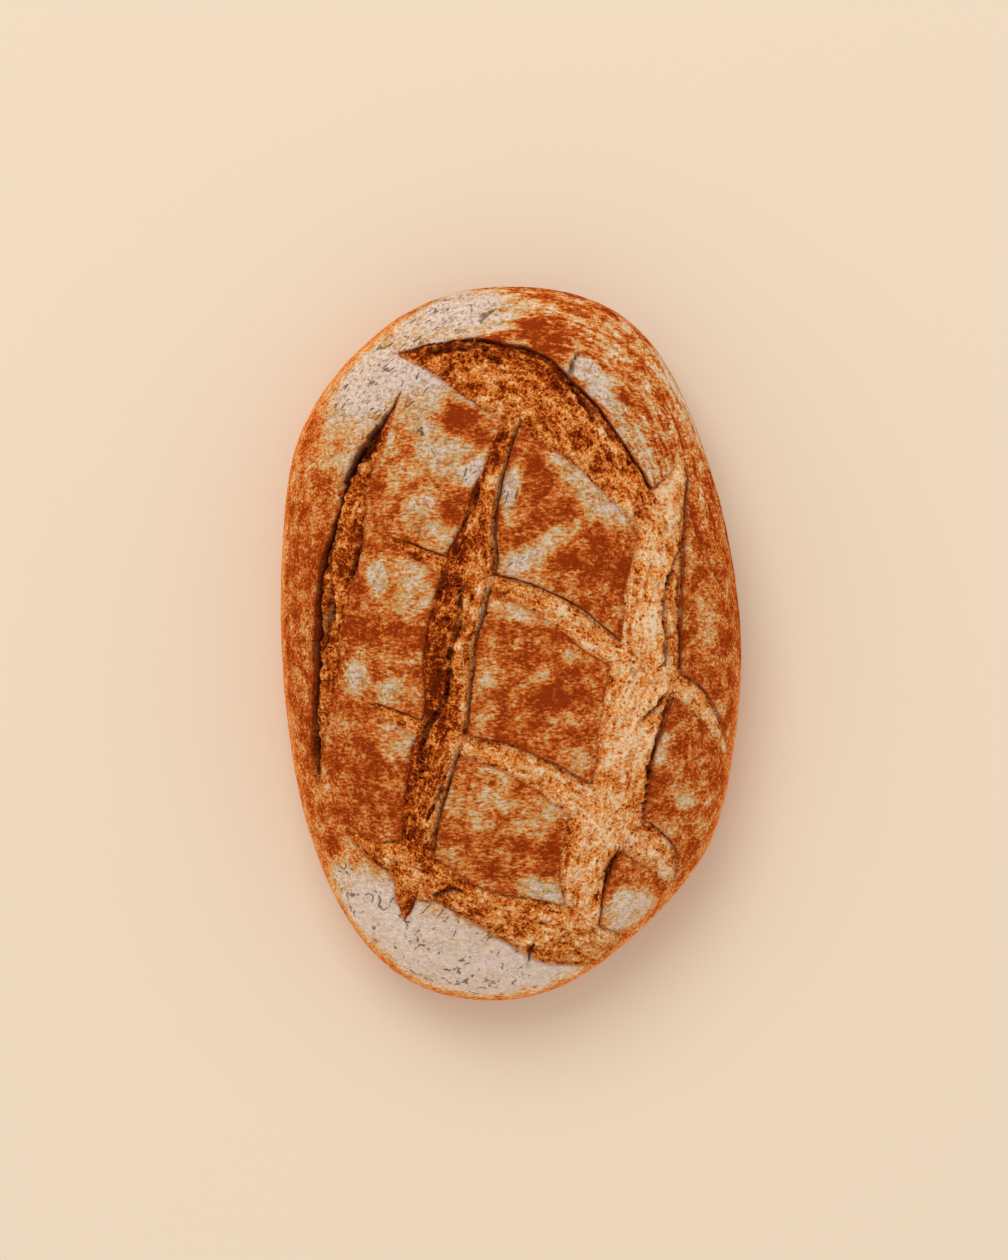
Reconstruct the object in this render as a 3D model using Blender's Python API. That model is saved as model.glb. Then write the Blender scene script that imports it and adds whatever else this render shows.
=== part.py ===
"""An oval hearth loaf of whole grain bread, with scores that tore open as it baked.

Metres, +Z up. The loaf's length runs along Y, its width along X, and it stands on its flat sole at z = 0,
with the origin under the middle of its box.

The crust is laid out on a flat map: a sheet spread over the loaf from the crown outwards, on which the
scores are drawn in millimetres. base_surface() says where each point of the sheet lies on the plain dome,
and crust_relief() says how far the torn scores, their lifted lips and the plump crust between them stand
out from it. A triangulation whose edges follow the lips of the tears makes the crust's faces.
"""

import math

import bmesh
import bpy
import numpy as np
from mathutils import Vector
from mathutils.geometry import delaunay_2d_cdt

MM = 0.001

LENGTH = 300.0
WIDTH = 193.5
CROWN_HEIGHT = 88.0
WAIST_HEIGHT = 27.0
DOME_BLUNTNESS = 2.3
SOLE_TUCK = 0.13
MAP_STRETCH = 0.35
PROFILE_STEPS = 96

# How far the outline stands out from a true ellipse, every 22.5 degrees from +X, anticlockwise from above
OUTLINE_SWELL = (
    1.00, 0.99, 1.00, 1.04, 1.00, 1.04, 1.08, 1.02,
    0.99, 0.99, 1.02, 1.05, 1.00, 0.98, 1.03, 1.01,
)

# The triangles' corners: an even lattice, the sole's rim, and lines along each tear's lips, walls and floor
LATTICE = 5.5
RIM_STEP = 4.9
LINE_STEP = 3.4
WALL_LEAN = 0.9
FLOOR_LINES = (0.25, 0.5, 0.75)
LIP_CLEARANCE = 2.2
MERGE_DISTANCE = 0.25

# Each tear runs so that its lifted lip, the ear, is on the left of its path.
# Its knots are (x, y, width), and ear, crevice and swell are heights from the dome.
TEARS = {
    "top_arc": {
        "knots": ((-49.5, 121, 0), (-40, 119, 7.5), (-29, 117, 16.3), (-17, 114, 25), (-4, 108.5, 31),
                  (8, 103.5, 33), (26, 88.5, 26), (37, 77, 22), (53, 57, 16), (59, 48, 12)),
        "ear": 1.8, "crevice": 3.0, "swell": 2.5,
    },
    "right_seam": {
        "knots": ((71, 79, 0), (68.5, 68, 9), (64, 57, 18.5), (62, 46, 20.5), (60, 34, 22.5),
                  (58, 18, 25.5), (57, 1, 26), (55, -11, 30), (51.5, -23, 28), (48, -39, 26),
                  (45.5, -53, 24.5), (42.5, -66, 27.5), (36, -76, 28), (32.5, -84, 23),
                  (31, -93, 21.5), (30, -104, 17.5), (30.5, -114, 13)),
        "ear": 1.2, "crevice": 1.8, "swell": 2.0,
    },
    "middle_seam": {
        "knots": ((1.5, 91, 7), (-4, 79, 10.5), (-7, 68, 11.5), (-10.3, 58, 14.2), (-12.4, 48, 16.5),
                  (-15.3, 34, 23), (-20, 18, 24), (-24, 1, 23), (-25, -15, 22), (-26, -31, 21),
                  (-31, -47, 21), (-35, -64, 19), (-37, -80, 16), (-38, -91, 14)),
        "ear": 2.4, "crevice": 6.0, "swell": 1.0,
    },
    "left_seam": {
        "knots": ((-80, -62, 0), (-80, -48, 5), (-79, -36, 7), (-78, -23, 9), (-76, -11, 11),
                  (-75, 1, 12), (-74, 16, 14), (-72, 28, 16), (-69, 40, 16), (-65, 54, 13),
                  (-64, 65, 12), (-60, 75, 11.5), (-55.5, 84, 8.5), (-49, 94, 4), (-42, 109, 0)),
        "ear": 3.0, "crevice": 6.5, "swell": 1.0,
    },
    "upper_left_wedge": {
        "knots": ((-58, 45, 0), (-49.5, 42, 2.5), (-41, 38.5, 6), (-33, 34.5, 8), (-26, 31, 8.5)),
        "ear": 1.5, "crevice": 2.5, "swell": 0.5,
    },
    "lower_left_wedge": {
        "knots": ((-61.5, -22.5, 0), (-53.5, -26.5, 5.5), (-46, -30, 7.5), (-38.5, -34, 8.5),
                  (-32, -37, 8.5)),
        "ear": 1.5, "crevice": 2.5, "swell": 0.5,
    },
    "upper_cross": {
        "knots": ((-7, 25, 7), (2, 22.5, 10), (10, 18.5, 11), (18, 14.5, 12), (26, 9, 13), (36, 1, 12),
                  (46, -5, 12)),
        "ear": 1.5, "crevice": 2.2, "swell": 0.8,
    },
    "lower_cross": {
        "knots": ((-19, -41, 11), (-11, -43, 11), (-2, -46, 13), (6, -50, 14), (14, -54, 15),
                  (22, -59, 16), (33, -65, 16)),
        "ear": 1.8, "crevice": 2.8, "swell": 0.8,
    },
    "foot_seam": {
        "knots": ((-72, -72, 0), (-64, -79, 6), (-56, -84, 10), (-45, -88, 17), (-37, -94, 22),
                  (-27, -98, 17), (-17, -104, 16), (-4, -110, 20), (8, -115, 25), (20, -120, 27),
                  (33, -123, 21), (42, -122, 11), (46, -122, 2)),
        "ear": 1.2, "crevice": 2.0, "swell": 2.5,
    },
    "right_wedge": {
        "knots": ((60, -14, 12), (68, -17.5, 12), (76, -23, 10), (83, -32, 7.5), (87, -39, 5),
                  (90, -46, 0)),
        "ear": 0.8, "crevice": 1.3, "swell": 0.8,
    },
    "heel_wedge": {
        "knots": ((46, -72, 10), (52, -79, 17), (60, -86, 16), (64, -93, 10.5), (67, -101, 0)),
        "ear": 0.8, "crevice": 1.3, "swell": 0.8,
    },
    "foot_notch": {
        "knots": ((-41.5, -96, 13), (-43.3, -103.6, 9.5), (-44, -109, 6.5), (-44.7, -115.5, 0)),
        "ear": 0.8, "crevice": 2.5, "swell": 0.0,
    },
}
PATH_STEPS = 60
REACH = 30.0
EAR_FADE = 7.0
EAR_FULL_WIDTH = 11.0
RIM_LIFT = 0.5
RIM_FADE = 3.0
CREVICE_SHARE = 0.2
FLUSH_STEP = 0.7
LIP_EDGE = 0.3

PILLOW_RISE = 2.5
PILLOW_FADE = 12.0
RELIEF_END = 0.96
RELIEF_FADE = 0.15

CRUST_COLOUR = (0.46, 0.15, 0.04, 1.0)
CRUST_ROUGHNESS = 0.75


def ease(share):
    """A smooth step from 0 to 1, flat at both ends."""
    share = np.clip(share, 0.0, 1.0)
    return share * share * (3.0 - 2.0 * share)


def curve_through(knots, steps, closed=False):
    """Rows evenly spaced by knot along the Catmull-Rom curve through the knots."""
    knots = np.asarray(knots, float)
    if closed:
        row = np.vstack((knots[-1:], knots, knots[:2]))
    else:
        row = np.vstack((2 * knots[0] - knots[1], knots, 2 * knots[-1] - knots[-2]))
    spans = len(row) - 3
    place = np.linspace(0.0, spans, steps + 1)
    span = np.minimum(place.astype(int), spans - 1)
    t = (place - span)[:, None]
    before, start, end, after = (row[span + k] for k in range(4))
    return 0.5 * (
        2 * start
        + (end - before) * t
        + (2 * before - 5 * start + 4 * end - after) * t**2
        + (3 * start - before - 3 * end + after) * t**3
    )


def outline_table():
    """The outline's angles and radii: an ellipse, swelled, and fitted to the loaf's length and width."""
    angle = np.linspace(0.0, 2 * math.pi, 721)
    swell = curve_through(np.array(OUTLINE_SWELL)[:, None], 720, closed=True)[:, 0]
    radius = swell / np.hypot(np.cos(angle) / (WIDTH / 2), np.sin(angle) / (LENGTH / 2))
    x, y = radius * np.cos(angle), radius * np.sin(angle)
    x = (x - (x.max() + x.min()) / 2) * WIDTH / (x.max() - x.min())
    y = (y - (y.max() + y.min()) / 2) * LENGTH / (y.max() - y.min())
    turned = np.unwrap(np.arctan2(y, x))
    return turned, np.hypot(x, y)


def profile_table():
    """The profile from crown to sole: distance along it, place on the map, share of the outline, height.

    A blunt quarter ellipse comes down to the waist, and a plain one tucks in below it to the sole. The map
    runs as the radius does, but never slower than a set share of the distance, so that it goes on over the
    waist and down the side. Distance and place are both shares of the loaf's mean radius.
    """
    turn = np.linspace(0.0, math.pi / 2, PROFILE_STEPS)
    power = 2.0 / DOME_BLUNTNESS
    dome_share = np.sin(turn) ** power
    dome_height = WAIST_HEIGHT + (CROWN_HEIGHT - WAIST_HEIGHT) * np.cos(turn).clip(0) ** power
    foot_share = 1.0 - SOLE_TUCK * (1.0 - np.cos(turn[1:]))
    foot_height = WAIST_HEIGHT * (1.0 - np.sin(turn[1:]))
    share = np.concatenate((dome_share, foot_share))
    height = np.concatenate((dome_height, foot_height))
    out = np.diff(share)
    step = np.hypot(out, np.diff(height) / (math.sqrt(LENGTH * WIDTH) / 2))
    distance = np.concatenate(([0.0], np.cumsum(step)))
    place = np.concatenate(([0.0], np.cumsum(np.maximum(out, MAP_STRETCH * step))))
    return distance, place, share, height


OUTLINE_ANGLE, OUTLINE_RADIUS = outline_table()
PROFILE_DISTANCE, PROFILE_PLACE, PROFILE_SHARE, PROFILE_HEIGHT = profile_table()


def outline_radius(angle):
    """The outline's radius at each angle."""
    return np.interp(angle, OUTLINE_ANGLE, OUTLINE_RADIUS, period=2 * math.pi)


def map_place(spots):
    """How far out each spot lies on the flat map, as a share of the outline's radius."""
    angle = np.arctan2(spots[:, 1], spots[:, 0])
    return np.hypot(spots[:, 0], spots[:, 1]) / outline_radius(angle)


def base_surface(spots):
    """The plain dome under each spot of the flat map."""
    place = np.maximum(map_place(spots), 1e-9)
    share = np.interp(place, PROFILE_PLACE, PROFILE_SHARE)
    height = np.interp(place, PROFILE_PLACE, PROFILE_HEIGHT)
    return np.column_stack((spots * (share / place)[:, None], height))


def base_normal(spots):
    """The dome's outward direction, from how it changes a little way along the map's two axes."""
    nudge = 0.5
    along_x = base_surface(spots + (nudge, 0)) - base_surface(spots - (nudge, 0))
    along_y = base_surface(spots + (0, nudge)) - base_surface(spots - (0, nudge))
    normal = np.cross(along_x, along_y)
    return normal / np.linalg.norm(normal, axis=1)[:, None]


def read_tear(tear, spots):
    """How the spots lie beside one tear: depth inside its edges, share of the way across, and strength.

    The way across starts at the ear. Beyond REACH of the tear's box the depth stays far outside.
    """
    path = curve_through(tear["knots"], PATH_STEPS)
    inside = np.full(len(spots), -REACH)
    across = np.zeros(len(spots))
    strength = np.zeros(len(spots))
    low, high = path[:, :2].min(0) - REACH, path[:, :2].max(0) + REACH
    near = np.flatnonzero(((spots > low) & (spots < high)).all(1))
    start, run = path[:-1, :2], np.diff(path[:, :2], axis=0)
    reach = spots[near, None] - start
    share = np.clip((reach * run).sum(2) / (run**2).sum(1), 0.0, 1.0)
    gap = reach - share[..., None] * run
    best = (gap**2).sum(2).argmin(1)
    rows = np.arange(len(near))
    share, gap, run = share[rows, best], gap[rows, best], run[best]
    width = path[best, 2] * (1 - share) + path[best + 1, 2] * share
    half = np.maximum(width / 2, 1e-6)
    distance = np.hypot(gap[:, 0], gap[:, 1])
    side = np.sign(run[:, 0] * gap[:, 1] - run[:, 1] * gap[:, 0])
    inside[near] = half - distance
    across[near] = (1.0 - side * distance / half) / 2
    strength[near] = ease(width / EAR_FULL_WIDTH)
    return inside, across, strength


def torn_height(tear, across, strength):
    """The torn dough's height across a tear: a crevice under the ear, a swell, and a small step down to
    the flush side."""
    crevice = tear["crevice"] * np.exp(-((across / CREVICE_SHARE) ** 2))
    swell = tear["swell"] * np.sin(math.pi * np.clip(across, 0, 1) ** 0.8)
    return strength * (swell - crevice) - FLUSH_STEP * strength * across**2


def crust_relief(spots):
    """How far the loaf's skin stands out from the plain dome at each spot."""
    lift = np.zeros(len(spots))
    torn = np.zeros(len(spots))
    weight = np.zeros(len(spots))
    nearest = np.full(len(spots), -REACH)
    for tear in TEARS.values():
        inside, across, strength = read_tear(tear, spots)
        outer = np.minimum(inside, 0.0)
        ear = tear["ear"] * np.exp(outer / EAR_FADE)
        rim = RIM_LIFT * np.exp(outer / RIM_FADE)
        lift = np.maximum(lift, strength * np.where(across < 0.5, ear, rim))
        share = np.where(inside > LIP_EDGE, inside, 0.0)
        torn += share * torn_height(tear, across, strength)
        weight += share
        nearest = np.maximum(nearest, inside)
    pillow = PILLOW_RISE * (1.0 - np.exp(np.minimum(nearest, 0.0) / PILLOW_FADE))
    relief = np.where(weight > 0, torn / np.maximum(weight, LIP_EDGE), lift + pillow)
    return relief * ease((RELIEF_END - map_place(spots)) / RELIEF_FADE + 0.5)


def unroll(spots):
    """From the map to the crust rolled out flat, where distances outwards are true."""
    place = np.maximum(map_place(spots), 1e-9)
    return spots * (np.interp(place, PROFILE_PLACE, PROFILE_DISTANCE) / place)[:, None]


def roll_up(spots):
    """From the crust rolled out flat back to the map."""
    distance = np.maximum(map_place(spots), 1e-9)
    return spots * (np.interp(distance, PROFILE_DISTANCE, PROFILE_PLACE) / distance)[:, None]


def even_steps(line, step):
    """The line's points again, an even step apart."""
    along = np.concatenate(([0.0], np.cumsum(np.linalg.norm(np.diff(line, axis=0), axis=1))))
    place = np.linspace(0.0, along[-1], max(2, round(along[-1] / step) + 1))
    return np.column_stack((np.interp(place, along, line[:, 0]), np.interp(place, along, line[:, 1])))


def tear_lines(tear):
    """A tear's two lips, the feet of its two walls and the lines along its floor, as lines on the map."""
    path = curve_through(tear["knots"], PATH_STEPS)
    run = np.gradient(path[:, :2], axis=0)
    left = np.column_stack((-run[:, 1], run[:, 0])) / np.linalg.norm(run, axis=1)[:, None]
    half = path[:, 2] / 2
    foot = half - WALL_LEAN
    walls = [(offset, half > 1.5 * WALL_LEAN) for offset in (half, foot, -foot, -half)]
    floor = [(half * (1 - 2 * share), half > 4 * WALL_LEAN) for share in FLOOR_LINES]
    lines = []
    for offset, wide in walls + floor:
        line = (path[:, :2] + left * offset[:, None])[wide]
        if len(line) > 1:
            lines.append(even_steps(line, LINE_STEP))
    return lines


def rim_line():
    """The sole's rim on the rolled out crust, as evenly spaced points of a closed line."""
    angle = np.linspace(0.0, 2 * math.pi, 721)
    radius = outline_radius(angle) * PROFILE_DISTANCE[-1]
    line = np.column_stack((radius * np.cos(angle), radius * np.sin(angle)))
    return even_steps(line, RIM_STEP)[:-1]


def lattice_spots():
    """An even lattice of triangles over the rolled out crust, clear of its rim and of the tears."""
    reach = math.ceil(PROFILE_DISTANCE[-1] * LENGTH / LATTICE)
    column, row = np.meshgrid(np.arange(-reach, reach), np.arange(-reach, reach))
    x = (column + 0.5 * (row % 2)) * LATTICE
    y = row * LATTICE * math.sqrt(3) / 2
    spots = np.column_stack((x.ravel(), y.ravel()))
    rim_gap = 0.6 * LATTICE / (WIDTH / 2)
    spots = roll_up(spots[map_place(spots) < PROFILE_DISTANCE[-1] - rim_gap])
    inside = np.array([read_tear(tear, spots)[0] for tear in TEARS.values()]).max(0)
    return spots[inside < -LIP_CLEARANCE]


def crust_triangles():
    """The crust's points on the map and its triangles, with the lips, wall feet and rim as edges."""
    points = [unroll(lattice_spots()), rim_line()]
    count = len(points[0])
    ring = count + np.arange(len(points[1]))
    edges = np.column_stack((ring, np.roll(ring, -1))).tolist()
    count += len(ring)
    for tear in TEARS.values():
        for line in tear_lines(tear):
            points.append(unroll(line))
            edges += [(count + step, count + step + 1) for step in range(len(line) - 1)]
            count += len(line)
    corners = [Vector(point) for point in np.vstack(points)]
    inside_constraints = 1
    flat, _, triangles, _, _, _ = delaunay_2d_cdt(corners, edges, [], inside_constraints, MERGE_DISTANCE)
    return roll_up(np.array([point[:] for point in flat])), triangles


def crust_points(spots):
    """Each spot's place on the finished crust, centred over the middle of its box, in metres."""
    points = base_surface(spots) + base_normal(spots) * crust_relief(spots)[:, None]
    points[:, :2] -= (points[:, :2].max(0) + points[:, :2].min(0)) / 2
    on_rim = map_place(spots) > PROFILE_PLACE[-1] - 1e-4
    points[on_rim, 2] = 0.0
    return points * MM


def make_loaf():
    """One closed solid: the crust's triangles, with their rim filled by the flat sole."""
    spots, triangles = crust_triangles()
    shape = bmesh.new()
    corners = [shape.verts.new(point) for point in crust_points(spots)]
    for triangle in triangles:
        shape.faces.new([corners[index] for index in triangle])
    rim = [edge for edge in shape.edges if edge.is_boundary]
    bmesh.ops.contextual_create(shape, geom=rim)
    bmesh.ops.recalc_face_normals(shape, faces=shape.faces)
    mesh = bpy.data.meshes.new("loaf")
    shape.to_mesh(mesh)
    shape.free()
    mesh.shade_smooth()
    mesh.set_sharp_from_angle(angle=math.radians(40))
    return mesh


def crust_material():
    """Matt baked crust, a deep orange brown."""
    material = bpy.data.materials.new("baked crust")
    material.use_nodes = True
    shader = material.node_tree.nodes["Principled BSDF"]
    shader.inputs["Base Color"].default_value = CRUST_COLOUR
    shader.inputs["Roughness"].default_value = CRUST_ROUGHNESS
    shader.inputs["Metallic"].default_value = 0.0
    return material


def main():
    for old in list(bpy.data.objects):
        bpy.data.objects.remove(old)
    loaf = bpy.data.objects.new("loaf", make_loaf())
    loaf.data.materials.append(crust_material())
    bpy.context.scene.collection.objects.link(loaf)


main()
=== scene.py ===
"""Looks for an oval hearth loaf of whole grain bread: crust, torn scores, flour, light and camera.

One skin is laid out on a flat map, a sheet spread over the loaf from the crown outwards, in millimetres. The
scores and patches of flour are drawn on the map, and each point of it is lifted onto the loaf.
"""

import itertools
import math

import bpy
import numpy as np
from bpy.props import FloatProperty, FloatVectorProperty, PointerProperty
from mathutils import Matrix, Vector
from mathutils.geometry import delaunay_2d_cdt


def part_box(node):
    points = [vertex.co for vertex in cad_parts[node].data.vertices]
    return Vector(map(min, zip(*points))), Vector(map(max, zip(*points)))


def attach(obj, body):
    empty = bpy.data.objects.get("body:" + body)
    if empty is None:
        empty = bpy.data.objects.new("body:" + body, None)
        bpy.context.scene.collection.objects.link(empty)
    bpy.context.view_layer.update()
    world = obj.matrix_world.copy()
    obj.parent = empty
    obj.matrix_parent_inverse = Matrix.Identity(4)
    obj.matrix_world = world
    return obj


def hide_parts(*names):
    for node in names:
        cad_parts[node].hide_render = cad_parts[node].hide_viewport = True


bl_info = {
    "name": "Whole grain loaf",
    "version": (1, 0, 0),
    "blender": (4, 5, 0),
    "location": "View3D > Sidebar > Loaf",
    "description": "Dresses a scored hearth loaf in baked crust, torn crumb and flour",
    "category": "Add Mesh",
}

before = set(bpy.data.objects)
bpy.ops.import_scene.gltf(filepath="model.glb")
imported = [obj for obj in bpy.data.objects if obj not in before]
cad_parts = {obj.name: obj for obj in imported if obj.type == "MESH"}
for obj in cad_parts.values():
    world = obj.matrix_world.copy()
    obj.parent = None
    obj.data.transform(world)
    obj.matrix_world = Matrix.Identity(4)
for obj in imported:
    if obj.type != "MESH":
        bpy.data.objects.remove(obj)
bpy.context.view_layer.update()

MM = 0.001
SOLID_LOW, SOLID_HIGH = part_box("loaf")
WIDTH, LENGTH, TOP_HEIGHT = (SOLID_HIGH - SOLID_LOW) / MM
MEAN_RADIUS = math.sqrt(LENGTH * WIDTH) / 2
CROWN_HEIGHT = 88.0
WAIST_HEIGHT = 27.0
DOME_BLUNTNESS = 2.3
SOLE_TUCK = 0.13
MAP_STRETCH = 0.35
PROFILE_STEPS = 96
OUTLINE_STEPS = 720

# How far the outline stands out from a true ellipse, every 22.5 degrees from +X, anticlockwise from above
OUTLINE_SWELL = (
    1.00, 0.99, 1.00, 1.04, 1.00, 1.04, 1.08, 1.02,
    0.99, 0.99, 1.02, 1.05, 1.00, 0.98, 1.03, 1.01,
)

# The skin's grid: cells across and along, a cell's mean size, the share of the way down that its rings
# take evenly, and the spacing of the sole's points
GRID_ACROSS = 246
GRID_ALONG = 384
CELL = 0.95
TOP_DENSITY = 0.80
SOLE_LATTICE = 9.0

# Each tear runs so that its lifted lip, the ear, is on the left of its path. Its knots are (x, y, width);
# ear, crevice and swell are heights from the dome, gap sets the crevice's width and overhang is how far the
# ear reaches over it. Pale says how light the crumb is by the ear, in the middle and by the flush side.
TEARS = {
    "top_arc": {
        "knots": ((-49.5, 121, 0), (-40, 119, 7.5), (-29, 117, 16.3), (-17, 114, 25), (-4, 108.5, 31),
                  (8, 103.5, 33), (26, 88.5, 26), (37, 77, 22), (53, 57, 16), (59, 48, 12)),
        "ear": 1.8, "crevice": 3.0, "swell": 2.5, "gap": 0.9, "overhang": 1.6, "pale": (-0.50, -0.15, 0.05),
    },
    "right_seam": {
        "knots": ((71, 79, 0), (68.5, 68, 9), (64, 57, 18.5), (62, 46, 20.5), (60, 34, 22.5), (58, 18, 25.5),
                  (57, 1, 26), (55, -11, 30), (51.5, -23, 28), (48, -39, 26), (45.5, -53, 24.5),
                  (42.5, -66, 27.5), (36, -76, 28), (32.5, -84, 23), (31, -93, 21.5), (30, -104, 17.5),
                  (30.5, -114, 13)),
        "ear": 1.2, "crevice": 1.8, "swell": 2.0, "gap": 0.9, "overhang": 1.4, "pale": (0.0, 0.62, 0.15),
    },
    "middle_seam": {
        "knots": ((1.5, 91, 7), (-4, 79, 10.5), (-7, 68, 11.5), (-10.3, 58, 14.2), (-12.4, 48, 16.5),
                  (-15.3, 34, 23), (-20, 18, 24), (-24, 1, 23), (-25, -15, 22), (-26, -31, 21),
                  (-31, -47, 21), (-35, -64, 19), (-37, -80, 16), (-38, -91, 14)),
        "ear": 2.4, "crevice": 6.0, "swell": 1.0, "gap": 1.6, "overhang": 1.2, "pale": (0.45, -0.05, -0.50),
    },
    "left_seam": {
        "knots": ((-80, -62, 0), (-80, -48, 5), (-79, -36, 7), (-78, -23, 9), (-76, -11, 11), (-75, 1, 12),
                  (-74, 16, 14), (-72, 28, 16), (-69, 40, 16), (-65, 54, 13), (-64, 65, 12),
                  (-60, 75, 11.5), (-55.5, 84, 8.5), (-49, 94, 4), (-42, 109, 0)),
        "ear": 3.0, "crevice": 6.5, "swell": 1.0, "gap": 1.7, "overhang": 3.1, "pale": (-0.10, 0.05, 0.0),
    },
    "upper_left_wedge": {
        "knots": ((-58, 45, 0), (-49.5, 42, 2.5), (-41, 38.5, 6), (-33, 34.5, 8), (-26, 31, 8.5)),
        "ear": 1.5, "crevice": 2.5, "swell": 0.5, "gap": 0.8, "overhang": 0.7, "pale": (0.10, 0.30, 0.20),
    },
    "lower_left_wedge": {
        "knots": ((-61.5, -22.5, 0), (-53.5, -26.5, 5.5), (-46, -30, 7.5), (-38.5, -34, 8.5),
                  (-32, -37, 8.5)),
        "ear": 1.5, "crevice": 2.5, "swell": 0.5, "gap": 0.8, "overhang": 0.7, "pale": (0.10, 0.30, 0.20),
    },
    "upper_cross": {
        "knots": ((-7, 25, 7), (2, 22.5, 10), (10, 18.5, 11), (18, 14.5, 12), (26, 9, 13), (36, 1, 12),
                  (46, -5, 12)),
        "ear": 1.5, "crevice": 2.2, "swell": 0.8, "gap": 0.8, "overhang": 0.9, "pale": (0.10, 0.46, 0.22),
    },
    "lower_cross": {
        "knots": ((-19, -41, 11), (-11, -43, 11), (-2, -46, 13), (6, -50, 14), (14, -54, 15),
                  (22, -59, 16), (33, -65, 16)),
        "ear": 1.8, "crevice": 2.8, "swell": 0.8, "gap": 0.8, "overhang": 1.0, "pale": (0.20, 0.58, 0.30),
    },
    "foot_seam": {
        "knots": ((-72, -72, 0), (-64, -79, 6), (-56, -84, 10), (-45, -88, 17), (-37, -94, 22),
                  (-27, -98, 17), (-17, -104, 16), (-4, -110, 20), (8, -115, 25), (20, -120, 27),
                  (33, -123, 21), (42, -122, 11), (46, -122, 2)),
        "ear": 1.2, "crevice": 2.0, "swell": 2.5, "gap": 0.9, "overhang": 1.0, "pale": (0.15, 0.30, 0.05),
    },
    "right_wedge": {
        "knots": ((60, -14, 12), (68, -17.5, 12), (76, -23, 10), (83, -32, 7.5), (87, -39, 5), (90, -46, 0)),
        "ear": 0.8, "crevice": 1.3, "swell": 0.8, "gap": 0.8, "overhang": 0.6, "pale": (0.10, 0.45, 0.30),
    },
    "heel_wedge": {
        "knots": ((46, -72, 10), (52, -79, 17), (60, -86, 16), (64, -93, 10.5), (67, -101, 0)),
        "ear": 0.8, "crevice": 1.3, "swell": 0.8, "gap": 0.8, "overhang": 0.6, "pale": (0.05, 0.35, 0.30),
    },
    "foot_notch": {
        "knots": ((-41.5, -96, 13), (-43.3, -103.6, 9.5), (-44, -109, 6.5), (-44.7, -115.5, 0)),
        "ear": 0.8, "crevice": 2.5, "swell": 0.0, "gap": 1.4, "overhang": 0.2, "pale": (-0.3, 0.0, -0.1),
    },
}

# Rifts are narrow cracks: (x, y, width) knots, and how deep they go
RIFTS = (
    (((-34, 119.5, 1.6), (-27, 120.5, 4), (-20, 121, 4.4), (-13, 121, 4), (-9, 120, 1)), 5.0),
    (((-11, 117, 1.0), (-6, 115, 3.3), (-3, 113, 1)), 4.0),
    (((24, 107, 0.8), (29, 97, 2.9), (34, 88, 1)), 4.0),
    (((-50, 94, 1.5), (-56.5, 84, 5), (-62, 75, 7), (-67.5, 66, 6), (-71, 54, 2)), 4.5),
    (((-73, 24, 1), (-74, 18, 4.1), (-75, 10, 5.7), (-76, 2, 3.3), (-77, -6, 1)), 4.0),
    (((-62, 50, 1.2), (-64, 36, 2.4), (-68, 26, 1.2)), 3.0),
    (((-78.5, -26, 1), (-79.5, -37, 3), (-80, -47, 3), (-80, -57, 1)), 3.0),
    (((-13, 63, 1.2), (-16, 55, 2.4), (-20, 46, 1.2)), 3.0),
    (((-21, 26, 1), (-21, 12, 3.2), (-24, -3, 3.2), (-26, -18, 2.4), (-29, -26, 3.2), (-34, -34, 2.8),
      (-36, -42, 2.8), (-37, -56, 1.2)), 4.0),
    (((-27, -54, 1), (-30, -63, 2.4), (-34, -71, 1.6)), 4.0),
    (((69.5, 39, 1.5), (65, 30, 2.2), (62.5, 16, 2.6), (63, -5, 2.2), (60, -9, 1.2)), 3.0),
    (((49, -3, 1.0), (49, -13, 1.2)), 2.0),
    (((62, -19, 1.0), (59, -25, 2.4), (52, -32, 1.2)), 3.0),
    (((64.3, -22, 1.0), (60.3, -37, 2.4), (57, -54, 2.4), (55, -68, 1.0)), 2.5),
    (((43.5, -82, 1.0), (40.5, -93, 2.8), (38, -106, 2.8), (37, -112, 1.5)), 4.0),
    (((-33, -103, 1.6), (-24, -100, 2.4), (-18, -100, 1)), 3.5),
    (((79, 41, 0.8), (83, 29, 2), (89, 19, 0.8)), 1.5),
    (((27, 119, 1.2), (25.5, 113, 2.4), (25, 107, 1.8)), 3.0),
    (((9, -122, 1.6), (8, -128, 2), (7, -134, 0.8)), 2.5),
)

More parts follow.
